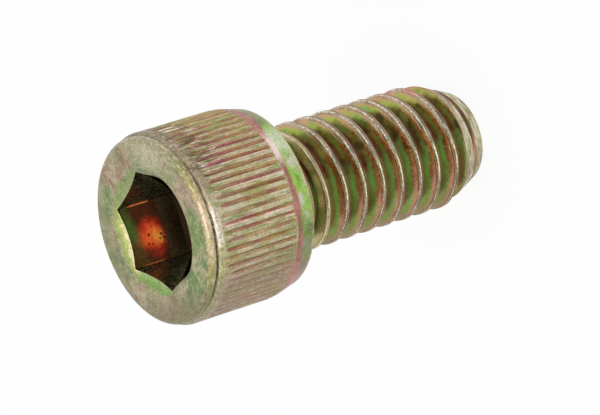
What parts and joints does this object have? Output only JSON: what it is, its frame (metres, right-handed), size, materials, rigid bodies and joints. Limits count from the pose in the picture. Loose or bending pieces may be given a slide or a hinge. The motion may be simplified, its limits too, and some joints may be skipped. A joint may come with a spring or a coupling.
{
  "type": "socket head cap screw",
  "caption": "Socket head cap screw with a knurled round head, a hexagon key socket and a fully threaded shank with a tapered tip.",
  "frame": {"origin": "middle of the flat end of the tip, on the screw's axis", "axes": "+Z along the screw's axis from the tip to the head, +X towards a corner of the hexagon socket"},
  "size_m": [0.0118, 0.0118, 0.0231],
  "materials": {
    "zinc_steel": "yellow zinc plated and passivated, satin with green and pink tints"
  },
  "bodies": {
    "root": {"cap_screw": "zinc_steel"}
  },
  "joints": []
}
